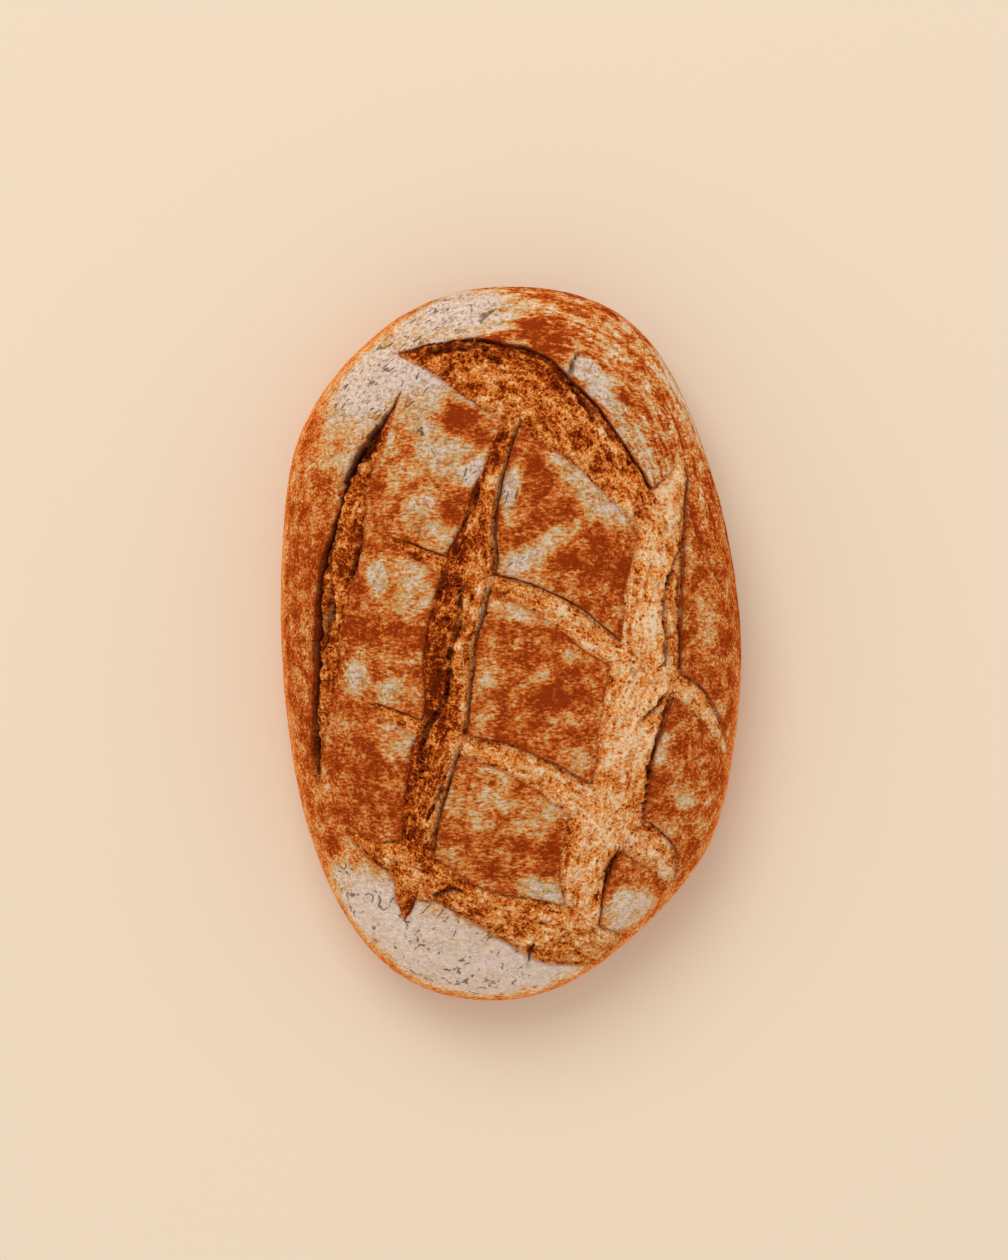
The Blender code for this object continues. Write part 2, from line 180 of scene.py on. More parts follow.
# Patches of flour, and of darker baking where the amount is below 0:
# (x, y, half length, half width, turn, amount)
PATCHES = (
    (-42, 122, 38, 15, 38, 0.62), (-57, 108, 18, 13, 50, 0.36), (-64, 86, 12, 24, -20, 0.4),
    (-25, 105, 23, 5, -31, 0.6), (-37, 100, 9, 15, 0, 0.55), (-13, 137, 22, 8, 0, 0.58),
    (-18, 89, 8, 7, 0, -0.35), (-21, 74, 10, 10, 0, 0.35), (-14.5, 69, 3.5, 5, 0, 0.6),
    (-33, 80, 6, 9, 0, 0.4), (-35, 52, 8, 9, 0, 0.4), (-33, 62, 17, 26, 0, 0.2), (-23, 56, 6, 7, 0, -0.4),
    (-54, 27, 4, 7, 0, 0.5), (-42, 22, 11, 13, 0, 0.33), (-50, 1.5, 13, 12, 0, -0.1),
    (-63, -13, 6, 7, 0, 0.5), (-45, -20, 12, 6, 0, 0.45), (-46, -39, 9, 10, 0, 0.4),
    (-57, -55, 14, 14, 0, -0.15),
    (0.4, 62, 3, 8, -10, 0.7), (3, 60, 5, 11, -10, 0.3), (12, 68, 8, 16, -15, -0.2),
    (32, 30, 15, 19, 0, -0.15), (33, 66, 25, 10, -42, 0.55), (18, 43, 21, 4, 31, 0.4),
    (3.7, 33, 3, 3, 0, 0.5), (4, 34, 9, 7, 0, 0.35), (10, 23, 15, 3, -22, 0.35),
    (4.6, 12, 12, 4, -15, 0.4), (24, -5, 4, 4, 0, 0.4), (12, -13, 3.5, 3.5, 0, 0.45),
    (-9.3, -15, 3, 17, -5, 0.3), (16, -18, 14, 16, 0, -0.15), (26, -46, 10, 4, -20, 0.3),
    (-6.5, -68, 19, 10, -8, 0.28), (18, -68, 6, 6, 0, 0.3), (-9, -86, 5, 7, 0, -0.25),
    (16, -84, 5, 9, 0, -0.25),
    (12, -99, 12, 5, -20, 0.55), (32, 109, 12, 5, -58, 0.5), (45, 91, 27, 4, -58, 0.4),
    (72, 100, 30, 5, -63, 0.4), (15, 128, 12, 6, -10, -0.35), (45, 112, 30, 14, -45, 0.15),
    (79, 9, 4, 12, 0, 0.3), (62, -43, 3, 6, 0, 0.4), (71, -62, 4, 6, -20, 0.4), (67, -74, 4, 4, 0, 0.35),
    (-24, -128, 50, 20, -24, 0.9), (8, -136, 28, 12, 5, 0.8), (-70, -93, 5, 6, 0, 0.5),
    (-55, -106, 16, 12, -45, 0.6), (48, -109, 11, 8, 30, 0.75),
)

# Lengths are in millimetres. A fade beside or in a tear is where a height has fallen to about a third.
PATH_STEPS = 60
REACH = 26.0

# The crust beside a tear: the ear and its curl on the left, the rim on the right, and the rise away from it
EAR_FADE = 7.0
EAR_FULL_WIDTH = 11.0
EAR_CURL = 0.8
CURL_FADE = 1.3
RIM_LIFT = 0.5
RIM_FADE = 3.0
OVERHANG_FADE = 5.0
PILLOW_RISE = 2.5
PILLOW_FADE = 12.0
LIP_EDGE = 0.2
# The line along a tear's edges is partly the lip's baked colour, outside, and partly painted shade, inside
# the tear under the lip
LIP_LINE_OUTSIDE = 0.35
LIP_LINE_INSIDE = 0.8
RIM_LINE_SHARE = 0.6

# The torn dough in a tear
FLUSH_STEP = 0.7
SWELL_LEAN = 0.8
UNDERCUT = 0.5
UNDERCUT_FADE = 0.9
CREVICE_SHARE = 0.2
CREVICE_FULL_WIDTH = 6.0
GAP_SHARE = 0.3
NARROWEST_GAP = 0.8
SLIT_REACH = 1.2
SLOPE_DEPTH = 0.35
SLIT_AND_SLOPE = 1.2
# SHADOW_REACH and DARKEST_DEPTH shape the painted shade laid in a crevice
SHADOW_REACH = 1.1
DARKEST_DEPTH = 6.0
PALE_PLACES = (0.1, 0.5, 0.9)
CALM_BY_EAR = 3.5
CALM_BY_RIM = 2.0
ROUGHEST = 1.15
PALE_CALM = 0.6
NARROW_ROUGHNESS = 0.3
STRAND_STRETCH = 6.0
CRUMB_RISE = 0.6

# A rift's edge, and the painted shade in it
RIFT_LEAST_HALF = 0.5
RIFT_SPREAD = 0.15
RIFT_RAGGED = 0.5
RIFT_SHADOW = 0.25
RIFT_DARKEST = 0.95

# How the grid's points gather at an edge, and how unevenly edges run
EDGE_CATCH = 0.5 * CELL
LEDGE_CATCH = 1.5 * CELL
LEDGE = 0.7
EDGE_SLACK = 0.1
LEDGE_SLACK = 0.15
PULL_FADE = 2.0
WANDER = 0.75
WANDER_SIZE = 11.0
WANDER_SEEDS = (31, 37)

# The crust between the tears, its flour, and the height below which its sides are bare. Here a fade is how
# far an easing goes, and the relief's end and fade are shares of the outline's radius.
BLISTER_HEIGHT = 0.5
BUMP_HEIGHT = 0.22
FLOURED_BUMP_HEIGHT = 0.4
LOW_BUMP_HEIGHT = 0.12
PATCH_REACH = 1.5
BARE_HEIGHT = 53.0
BARE_FADE = 14.0
DUSTED_START = 60.0
DUSTED_FADE = 60.0
BRUSHED_START = 70.0
BRUSHED_FADE = 50.0
BRUSHED_FOOT = 5.0
BRUSHED_FOOT_FADE = 60.0
RELIEF_END = 0.96
RELIEF_FADE = 0.15
SOLE_FLAT = 1.0
SOLE_FADE = 3.0
SHARP_ANGLE = math.radians(42)

# Repeatable noise: large primes, and the shift and odd multiplier of each round of mixing
CELL_PRIMES = np.array((73856093, 19349663, 83492791))
SEED_PRIME = 7919
MIXING_ROUNDS = ((15, 668265263), (13, 374761393))
LAST_BITS = 0xFFFF
PIT_RADIUS = 0.30
PIT_RADIUS_SWING = 0.18
PIT_SCATTER = 0.4

CAMERA_HEIGHT = 1.6
CAMERA_SHIFT = (-0.00295, 0.00569)
CAMERA_LENS = 106.7
KEY_PLACE = (-0.8, 2.0, 3.35)
KEY_SIZE = 2.2
KEY_WATTS = 60.0
WORLD_COLOUR = (1.0, 0.97, 0.94)
WORLD_STRENGTH = 0.79
FLOOR_COLOUR = (0.80, 0.665, 0.51)
FLOOR_HALF = 3.0


def ease(share):
    """A smooth step from 0 to 1: 3 s^2 - 2 s^3."""
    share = np.clip(share, 0.0, 1.0)
    return share * share * (3.0 - 2.0 * share)


def curve_through(knots, steps, closed=False):
    """Rows evenly spaced by knot along the Catmull-Rom curve through the knots."""
    knots = np.asarray(knots, float)
    if closed:
        row = np.vstack((knots[-1:], knots, knots[:2]))
    else:
        row = np.vstack((2 * knots[0] - knots[1], knots, 2 * knots[-1] - knots[-2]))
    spans = len(row) - 3
    place = np.linspace(0.0, spans, steps + 1)
    span = np.minimum(place.astype(int), spans - 1)
    t = (place - span)[:, None]
    before, start, end, after = (row[span + k] for k in range(4))
    return 0.5 * (
        2 * start
        + (end - before) * t
        + (2 * before - 5 * start + 4 * end - after) * t**2
        + (3 * start - before - 3 * end + after) * t**3
    )


def outline_table():
    """The outline's angles and radii: an ellipse, swelled, and fitted to the solid's length and width."""
    angle = np.linspace(0.0, 2 * math.pi, OUTLINE_STEPS + 1)
    swell = curve_through(np.array(OUTLINE_SWELL)[:, None], OUTLINE_STEPS, closed=True)[:, 0]
    radius = swell / np.hypot(np.cos(angle) / (WIDTH / 2), np.sin(angle) / (LENGTH / 2))
    x, y = radius * np.cos(angle), radius * np.sin(angle)
    x = (x - (x.max() + x.min()) / 2) * WIDTH / (x.max() - x.min())
    y = (y - (y.max() + y.min()) / 2) * LENGTH / (y.max() - y.min())
    turned = np.unwrap(np.arctan2(y, x))
    return turned, np.hypot(x, y)


def profile_table():
    """The profile from crown to sole: distance along it, place on the map, share of the outline, height.

    A blunt quarter ellipse comes down to the waist, and a plain one tucks in below it to the sole. The map
    runs as the radius does, but never slower than a set share of the distance. Distance and place are both
    shares of the loaf's mean radius.
    """
    turn = np.linspace(0.0, math.pi / 2, PROFILE_STEPS)
    power = 2.0 / DOME_BLUNTNESS
    dome_share = np.sin(turn) ** power
    dome_height = WAIST_HEIGHT + (CROWN_HEIGHT - WAIST_HEIGHT) * np.cos(turn).clip(0) ** power
    foot_share = 1.0 - SOLE_TUCK * (1.0 - np.cos(turn[1:]))
    foot_height = WAIST_HEIGHT * (1.0 - np.sin(turn[1:]))
    share = np.concatenate((dome_share, foot_share))
    height = np.concatenate((dome_height, foot_height))
    out = np.diff(share)
    step = np.hypot(out, np.diff(height) / MEAN_RADIUS)
    distance = np.concatenate(([0.0], np.cumsum(step)))
    place = np.concatenate(([0.0], np.cumsum(np.maximum(out, MAP_STRETCH * step))))
    return distance, place, share, height


OUTLINE_ANGLE, OUTLINE_RADIUS = outline_table()
PROFILE_DISTANCE, PROFILE_PLACE, PROFILE_SHARE, PROFILE_HEIGHT = profile_table()


def outline_radius(angle):
    """The outline's radius at each angle."""
    return np.interp(angle, OUTLINE_ANGLE, OUTLINE_RADIUS, period=2 * math.pi)


def map_place(spots):
    """How far out each spot lies on the flat map, as a share of the outline's radius."""
    angle = np.arctan2(spots[:, 1], spots[:, 0])
    return np.hypot(spots[:, 0], spots[:, 1]) / outline_radius(angle)


def base_surface(spots):
    """The plain dome under each spot: the spot moved out by share / place, at the profile's height."""
    place = np.maximum(map_place(spots), 1e-9)
    share = np.interp(place, PROFILE_PLACE, PROFILE_SHARE)
    height = np.interp(place, PROFILE_PLACE, PROFILE_HEIGHT)
    return np.column_stack((spots * (share / place)[:, None], height))


def base_normal(spots):
    """The dome's outward direction: the cross product of its changes along the map's two axes."""
    nudge = 0.5
    along_x = base_surface(spots + (nudge, 0)) - base_surface(spots - (nudge, 0))
    along_y = base_surface(spots + (0, nudge)) - base_surface(spots - (0, nudge))
    normal = np.cross(along_x, along_y)
    return normal / np.linalg.norm(normal, axis=1)[:, None]


def lattice_value(cells, seed):
    """A repeatable number from -1 to 1 for each whole-numbered cell.

    The cell's numbers times large primes are added up, the sum is mixed by shifts, exclusive ors and odd
    multipliers, and its last 16 bits are the number.
    """
    mixed = (cells * CELL_PRIMES[: cells.shape[1]]).sum(1) + seed * SEED_PRIME
    for shift, multiplier in MIXING_ROUNDS:
        mixed = (mixed ^ (mixed >> shift)) * multiplier
    return ((mixed ^ (mixed >> 16)) & LAST_BITS) / (LAST_BITS / 2) - 1.0


def noise(points, size, seed, octaves=1):
    """Smooth noise from about -1 to 1: lattice values eased between cells of the size.

    Each further octave adds cells of half the size at half the height.
    """
    total = np.zeros(len(points))
    for octave in range(octaves):
        scaled = points / size * 2**octave
        cells = np.floor(scaled).astype(np.int64)
        t = ease(scaled - cells)
        for corner in itertools.product((0, 1), repeat=points.shape[1]):
            weight = np.where(corner, t, 1 - t).prod(1)
            total += weight * lattice_value(cells + corner, seed + octave) / 2**octave
    return total


def pits(points, size, seed):
    """Round hollows, 1 at their middle: one in each square of the lattice, of scattered place and width."""
    scaled = points[:, :2] / size
    home = np.floor(scaled).astype(np.int64)
    deepest = np.zeros(len(points))
    for step in itertools.product((-1, 0, 1), repeat=2):
        cell = home + step
        scatter = np.column_stack((lattice_value(cell, seed), lattice_value(cell, seed + 1)))
        radius = PIT_RADIUS + PIT_RADIUS_SWING * lattice_value(cell, seed + 2)
        gap = np.linalg.norm(scaled - cell - 0.5 - PIT_SCATTER * scatter, axis=1) / radius
        deepest = np.maximum(deepest, 1.0 - gap**2)
    return deepest


def read_path(knots, spots):
    """How the spots lie beside a path of (x, y, width) knots.

    Gives the depth inside its edges, the share of the way across from its left edge, its width, the distance
    along it and the way out from its middle line. Beyond REACH of its box the depth stays far outside.
    """
    path = curve_through(knots, PATH_STEPS)
    inside = np.full(len(spots), -REACH)
    across, wide, along = np.zeros((3, len(spots)))
    outward = np.zeros((len(spots), 2))
    low, high = path[:, :2].min(0) - REACH, path[:, :2].max(0) + REACH
    near = np.flatnonzero(((spots > low) & (spots < high)).all(1))
    start, run = path[:-1, :2], np.diff(path[:, :2], axis=0)
    mark = np.concatenate(([0.0], np.cumsum(np.hypot(run[:, 0], run[:, 1]))))
    reach = spots[near, None] - start
    share = np.clip((reach * run).sum(2) / (run**2).sum(1), 0.0, 1.0)
    gap = reach - share[..., None] * run
    best = (gap**2).sum(2).argmin(1)
    rows = np.arange(len(near))
    share, gap, run = share[rows, best], gap[rows, best], run[best]
    width = path[best, 2] * (1 - share) + path[best + 1, 2] * share
    half = np.maximum(width / 2, 1e-6)
    distance = np.hypot(gap[:, 0], gap[:, 1])
    side = np.sign(run[:, 0] * gap[:, 1] - run[:, 1] * gap[:, 0])
    inside[near] = half - distance
    across[near] = (1.0 - side * distance / half) / 2
    wide[near] = width
    along[near] = mark[best] * (1 - share) + mark[best + 1] * share
    outward[near] = gap / np.maximum(distance, 1e-9)[:, None]
    return inside, across, wide, along, outward


def wander(spots):
    """The spots, moved a little by noise, so that what is drawn on the map has uneven edges."""
    moves = [noise(spots, WANDER_SIZE, seed, octaves=2) for seed in WANDER_SEEDS]
    return spots + WANDER * np.column_stack(moves)


def near_edge(distance):
    """How far from an edge a spot goes.

    The closest go nearly onto it, the next ones to about a ledge's width from it, and the others are pulled
    towards it, less and less the farther off they are.
    """
    size = np.abs(distance)
    beside = LEDGE + LEDGE_SLACK * (size - CELL)
    beyond = size - (LEDGE_CATCH - LEDGE) * np.exp(-(size - LEDGE_CATCH) / PULL_FADE)
    moved = np.where(size < LEDGE_CATCH, beside, beyond)
    return np.sign(distance) * np.where(size < EDGE_CATCH, EDGE_SLACK * size, moved)


def draw_to_edges(spots):
    """Moves the spots nearest to a tear's or rift's edge onto it, and gathers the others towards it.

    Gives the moved spots, and which of them lie on an edge.
    """
    paths = [tear["knots"] for tear in TEARS.values()] + [knots for knots, _ in RIFTS]
    sheet = wander(spots)
    readings = [read_path(knots, sheet) for knots in paths]
    inside = np.array([reading[0] for reading in readings])
    outward = np.array([reading[4] for reading in readings])
    chosen = np.abs(inside).argmin(0)
    columns = np.arange(len(spots))
    depth, out = inside[chosen, columns], outward[chosen, columns]
    return spots + out * (depth - near_edge(depth))[:, None], np.abs(depth) < EDGE_CATCH


def flour_amount(spots):
    """The patches' amounts added up: each is even in its middle and eases out at one and a half radii."""
    total = np.zeros(len(spots))
    for x, y, length, width, turn, amount in PATCHES:
        cos, sin = math.cos(math.radians(turn)), math.sin(math.radians(turn))
        offset = spots - (x, y)
        along = (offset[:, 0] * cos + offset[:, 1] * sin) / length
        over = (offset[:, 1] * cos - offset[:, 0] * sin) / width
        total += amount * ease(PATCH_REACH - np.hypot(along, over))
    return np.minimum(total, 1.0)


def crumb_lumps(points):
    """Torn dough's lumps, in two sizes."""
    wide = noise(points, size=8.0, seed=3, octaves=2)
    return 0.8 * wide + 0.4 * noise(points, size=2.8, seed=5, octaves=2)


def crumb_pits(points):
    """Torn dough's round pores, in two sizes."""
    return 1.2 * pits(points, size=4.5, seed=17) + 0.8 * pits(points, size=2.4, seed=23)


def crumb_strands(along, from_ear):
    """Torn dough's strands, drawn out along the tear."""
    return noise(np.column_stack((along / STRAND_STRETCH, from_ear)), size=2.4, seed=11, octaves=2)


def torn_section(tear, across, width, strength):
    """The torn dough's height across a tear, and the painted shade in its crevice.

    It swells as a leaning sine, and steps down with the square of the way across to the flush side. The
    crevice is a narrow bell by the ear upon a wider and shallower one, and painted shade lies only in the
    narrow one.
    """
    from_ear = across * width
    cut = ease(width / CREVICE_FULL_WIDTH)
    gap = np.maximum(np.minimum(tear["gap"], GAP_SHARE * width), NARROWEST_GAP)
    slit = np.exp(-((from_ear / (SLIT_REACH * gap)) ** 2))
    crevice = slit + SLOPE_DEPTH * np.exp(-((across / CREVICE_SHARE) ** 2))
    sunk = cut * tear["crevice"] * crevice / SLIT_AND_SLOPE
    swell = tear["swell"] * np.sin(math.pi * np.clip(across, 0, 1) ** SWELL_LEAN)
    height = strength * (swell - FLUSH_STEP * across**2) - sunk
    # The painted shade: deepest by the ear, where the slit runs under it
    blunt = np.exp(-((from_ear / (SHADOW_REACH * gap)) ** 4))
    return height, cut * blunt * min(tear["crevice"] / DARKEST_DEPTH, 1.0)


def bare_sides(spots, height):
    """1 on the low side walls that the flour missed, and 0 above them and all round the upper right."""
    low = ease((BARE_HEIGHT - height) / BARE_FADE)
    return low * ease(1.0 - (spots.sum(1) - DUSTED_START) / DUSTED_FADE)


def brushed_share(spots):
    """1 on the upper right, where a brush streaked the flour, easing to 0 to the left and downwards."""
    x, y = spots.T
    return ease((x + y - BRUSHED_START) / BRUSHED_FADE) * ease((y - BRUSHED_FOOT) / BRUSHED_FOOT_FADE)


def crust_bumps(points, flour):
    """The crust's wide blisters, and its small bumps, which are higher in the flour."""
    height = BUMP_HEIGHT + FLOURED_BUMP_HEIGHT * np.clip(flour, 0, 1)
    bumps = height * noise(points, size=5.0, seed=43, octaves=3)
    return BLISTER_HEIGHT * noise(points, size=30.0, seed=41, octaves=2) + bumps


def crust_fields(spots, shape):
    """Everything that varies over the map: the skin's lift and sideways shift, and its named shades.

    Outside the tears the crust swells away from them and rises to their ears, which reach out over the tear.
    Inside, the torn dough lies in a crevice under the ear, swells, and meets the flush side. Where tears
    cross, their heights are averaged by depth inside each.
    """
    count = len(spots)
    points = base_surface(spots)
    sheet = wander(spots)
    lumps, pores = crumb_lumps(points), crumb_pits(points)
    lift, torn, rough, weight, painted_shade, edge, pale, along, aside = np.zeros((9, count))
    shift = np.zeros((count, 2))
    nearest = np.full(count, -REACH)
    for tear in TEARS.values():
        inside, across, width, mark, outward = read_path(tear["knots"], sheet)
        strength = ease(width / EAR_FULL_WIDTH)
        by_ear = across < 0.5
        from_ear = across * width
        outer = np.minimum(inside, 0.0)
        inner = np.where(inside > LIP_EDGE, inside, 0.0)
        opened = inner > 0
        ear = tear["ear"] * shape.ear_lift * np.exp(outer / EAR_FADE)
        ear += EAR_CURL * np.exp(outer / CURL_FADE)
        rim = RIM_LIFT * np.exp(outer / RIM_FADE)
        lift = np.maximum(lift, strength * np.where(by_ear, ear, rim))
        height, shadow = torn_section(tear, across, width, strength)
        light = np.interp(across, PALE_PLACES, tear["pale"])
        calm = np.minimum(inner / np.where(by_ear, CALM_BY_EAR, CALM_BY_RIM), 1.0)
        calm *= ROUGHEST - PALE_CALM * light
        crumb = (lumps + crumb_strands(mark, from_ear) - pores + CRUMB_RISE) * calm
        crumb *= NARROW_ROUGHNESS + (1.0 - NARROW_ROUGHNESS) * strength
        weight += inner
        torn += inner * (height + shape.crumb_depth * crumb)
        rough += inner * crumb
        # Painted shade in the crevice, averaged like the heights
        painted_shade += inner * shadow
        pale += inner * light
        overhang = tear["overhang"] * shape.overhang * strength * by_ear
        shift -= outward * (overhang * np.exp(outer / OVERHANG_FADE) * ~opened)[:, None]
        undercut = UNDERCUT * strength * by_ear
        shift += outward * (undercut * np.exp(-inner / UNDERCUT_FADE) * opened)[:, None]
        leads = inside > nearest
        # A line along the edge: partly the lip's baked colour and partly painted shade inside the tear
        line = np.exp(-np.abs(inside) / np.where(inside < 0, LIP_LINE_OUTSIDE, LIP_LINE_INSIDE))
        line *= strength * (RIM_LINE_SHARE + (1.0 - RIM_LINE_SHARE) * by_ear)
        edge = np.where(leads, line, edge)
        along, aside = np.where(leads, mark, along), np.where(leads, from_ear, aside)
        nearest = np.maximum(nearest, inside)
    opened = weight > 0
    torn, rough, painted_shade, pale = (total / np.maximum(weight, LIP_EDGE) for total in (torn, rough, painted_shade, pale))
    side = bare_sides(spots, points[:, 2])
    flour = flour_amount(sheet)
    flour = np.where(flour > 0, flour * (1.0 - side), flour)
    pillow = PILLOW_RISE * (1.0 - np.exp(np.minimum(nearest, 0.0) / PILLOW_FADE))
    relief = np.where(opened, torn, lift + pillow + crust_bumps(points, flour))
    ragged = RIFT_RAGGED * noise(points, size=2.8, seed=53)
    for knots, depth in RIFTS:
        inside, _, width, _, _ = read_path(knots, sheet)
        groove = ease(inside / np.maximum(width / 2, RIFT_LEAST_HALF) + RIFT_SPREAD + ragged)
        relief -= depth * groove
        # Painted shade in the rift, deeper the deeper the rift goes
        painted_shade = np.maximum(painted_shade, min(RIFT_SHADOW + depth / DARKEST_DEPTH, RIFT_DARKEST) * groove)
    place = map_place(spots)
    fade = ease((RELIEF_END - place) / RELIEF_FADE + 0.5)
    low_bumps = LOW_BUMP_HEIGHT * noise(points, size=6.0, seed=47, octaves=2)
    return {
        "lift": relief * fade + low_bumps * (points[:, 2] > SOLE_FLAT),
        "shift": shift,
        "torn": opened.astype(float),
        "rough": rough,
        "painted_shade": np.clip(painted_shade, 0, 1),
        "edge": edge * fade,
        "pale": pale,
        "along": along,
        "aside": aside,
        "flour": flour,
        "side": side,
        "brushed": brushed_share(spots),
        "around": np.arctan2(spots[:, 1], spots[:, 0]) * MEAN_RADIUS,
        "outward": place * MEAN_RADIUS,
    }


def grid_spots():
    """The grid's points on the map: parameters a and b from -1 to 1, laid out in nested rings.

    The ring is max(|a|, |b|), which becomes a distance down the profile, denser on top, and the place along
    the ring's side becomes an angle, with the grid's corners on the outline's diagonals.
    """
    a, b = np.meshgrid(np.linspace(-1, 1, GRID_ACROSS + 1), np.linspace(-1, 1, GRID_ALONG + 1))
    a, b = a.ravel(), b.ravel()
    ring = np.maximum(np.abs(a), np.abs(b))
    wide = np.abs(a) > np.abs(b)
    main, other = np.where(wide, a, b), np.where(wide, b, a)
    lean = math.pi / 4 * other / np.where(main == 0, 1.0, main)
    turn = np.where(wide, lean, math.pi / 2 - lean) + np.where(main < 0, math.pi, 0.0)
    angle = np.arctan2(LENGTH * np.sin(turn), WIDTH * np.cos(turn))
    distance = PROFILE_DISTANCE[-1] * (TOP_DENSITY * ring + (1 - TOP_DENSITY) * ring**4)
    radius = np.interp(distance, PROFILE_DISTANCE, PROFILE_PLACE) * outline_radius(angle)
    return np.column_stack((radius * np.cos(angle), radius * np.sin(angle))), ring


def grid_numbers():
    """The numbers of the grid's points, row by row along the loaf."""
    return np.arange((GRID_ACROSS + 1) * (GRID_ALONG + 1)).reshape(GRID_ALONG + 1, GRID_ACROSS + 1)


def grid_faces(on_edge, height):
    """The grid's cells as triangles, anticlockwise from above.

    Each cell is split from corner to corner along the edge of a tear where one crosses it, and otherwise
    between the two opposite corners that are closer in height.
    """
    grid = grid_numbers()
    a, b, c, d = (part.ravel() for part in (grid[:-1, :-1], grid[:-1, 1:], grid[1:, 1:], grid[1:, :-1]))
    rising, falling = on_edge[a] & on_edge[c], on_edge[b] & on_edge[d]
    closer = np.abs(height[b] - height[d]) < np.abs(height[a] - height[c])
    turned = (falling & ~rising) | (closer & (rising == falling))
    first = np.column_stack((a, b, np.where(turned, d, c)))
    second = np.column_stack((np.where(turned, b, a), c, d))
    return np.vstack((first, second))


def rim_indices():
    """The grid's border, as one loop anticlockwise from above."""
    grid = grid_numbers()
    return np.concatenate((grid[0, :-1], grid[:-1, -1], grid[-1, :0:-1], grid[:0:-1, 0]))


def sole_patch(rim):
    """The sole inside the rim: an even lattice of points, joined to the rim's in triangles facing down."""
    reach = math.ceil(LENGTH / 2 / SOLE_LATTICE)
    column, row = np.meshgrid(np.arange(-reach, reach + 1), np.arange(-reach, reach + 1))
    x = (column + 0.5 * (row % 2)) * SOLE_LATTICE
    y = row * SOLE_LATTICE * math.sqrt(3) / 2
    inner = np.column_stack((x.ravel(), y.ravel()))
    clear_of_rim = 0.97
    inner = inner[map_place(inner) < (1.0 - SOLE_TUCK) * clear_of_rim]
    ring = np.arange(len(rim))
    edges = np.column_stack((ring, np.roll(ring, -1))).tolist()
    corners = [Vector(spot) for spot in np.vstack((rim, inner))]
    inside_constraints = 1
    same_point = 1e-5
    flat, _, faces, _, _, _ = delaunay_2d_cdt(corners, edges, [], inside_constraints, same_point)
    return np.array([spot[:] for spot in flat])[len(rim):], [face[::-1] for face in faces]


def loaf_skin(shape):
    """The whole skin's points in metres, its faces, and its shades by name."""
    spots, ring = grid_spots()
    spots, on_edge = draw_to_edges(spots)
    fields = crust_fields(spots, shape)
    points = base_surface(spots + fields.pop("shift")) + base_normal(spots) * fields.pop("lift")[:, None]
    points[:, :2] -= (points[:, :2].max(0) + points[:, :2].min(0)) / 2
    points[:, :2] *= (WIDTH, LENGTH) / (points[:, :2].max(0) - points[:, :2].min(0))
    points[:, 2] = np.clip(points[:, 2], 0.0, TOP_HEIGHT)
    points[ring == 1.0, 2] = 0.0
    border = rim_indices()
    inner, sole_faces = sole_patch(points[border, :2])
    index = np.concatenate((border, len(points) + np.arange(len(inner))))
    faces = grid_faces(on_edge, points[:, 2]).tolist()
    faces += [[int(index[corner]) for corner in face] for face in sole_faces]
    points = np.vstack((points, np.column_stack((inner, np.zeros(len(inner))))))
    shades = {name: np.concatenate((value, np.zeros(len(inner)))) for name, value in fields.items()}
    shades["sole"] = ease(1.0 - points[:, 2] / SOLE_FADE)
    shades["side"] = np.maximum(shades["side"], shades["sole"])
    return points * MM, faces, shades


def add_node(tree, kind, inputs=None, **settings):
    """A new node with its settings made and its inputs filled, or linked where a socket is given."""
    node = tree.nodes.new(kind)
    for name, value in settings.items():
        setattr(node, name, value)
    for key, value in (inputs or {}).items():
        if isinstance(value, bpy.types.NodeSocket):
            tree.links.new(value, node.inputs[key])
        else:
            node.inputs[key].default_value = value
    return node


def opaque(colour):
    """The colour with an alpha of 1."""
    return tuple(colour) + (1.0,)


def mixed(tree, share, low, high):
    """A colour between low and high."""
    node = add_node(tree, "ShaderNodeMix", {"Factor": share, "A": low, "B": high}, data_type="RGBA")
    return node.outputs["Result"]


def calculated(tree, operation, *values):
    """One step of arithmetic on numbers or sockets."""
    node = add_node(tree, "ShaderNodeMath", dict(enumerate(values)), operation=operation)
    return node.outputs[0]


def product(tree, first, second):
    """One value times another."""
    return calculated(tree, "MULTIPLY", first, second)


def centred(tree, value):
    """The value less its middle, a half."""
    return calculated(tree, "SUBTRACT", value, 0.5)


def summed(tree, start, *terms):
    """The start number, and each term's socket times its weight."""
    total = start
    for socket, weight in terms:
        total = calculated(tree, "MULTIPLY_ADD", socket, weight, total)
    return total


def ramp(tree, value, stops):
    """A colour read from stops of (place, colour)."""
    node = add_node(tree, "ShaderNodeValToRGB", {"Fac": value})
    elements = node.color_ramp.elements
    while len(elements) < len(stops):
        elements.new(1.0)
    for element, (place, colour) in zip(elements, stops):
        element.position = place
        element.color = opaque(colour)
    return node.outputs["Color"]


def fading(tree, value, start, end):
    """0 on the start's side of the range and 1 on the end's, with an even slope between."""
    inputs = {"Value": value, "From Min": start, "From Max": end, "To Min": 0.0, "To Max": 1.0}
    return add_node(tree, "ShaderNodeMapRange", inputs).outputs[0]


def shade(tree, name):
    """One of the skin's named shades."""
    return add_node(tree, "ShaderNodeAttribute", attribute_name=name).outputs["Fac"]


def noise_texture(tree, where, scale, detail, roughness, distortion=0.0):
    """Noise from 0 to 1 about a middle of a half."""
    inputs = {"Vector": where, "Scale": scale, "Detail": detail, "Roughness": roughness,
              "Distortion": distortion}
    return add_node(tree, "ShaderNodeTexNoise", inputs).outputs["Fac"]


def grain(tree, where, size_mm, detail=3.0, roughness=0.6):
    """Noise of the size over the loaf."""
    return noise_texture(tree, where, 1.0 / (size_mm * MM), detail, roughness)


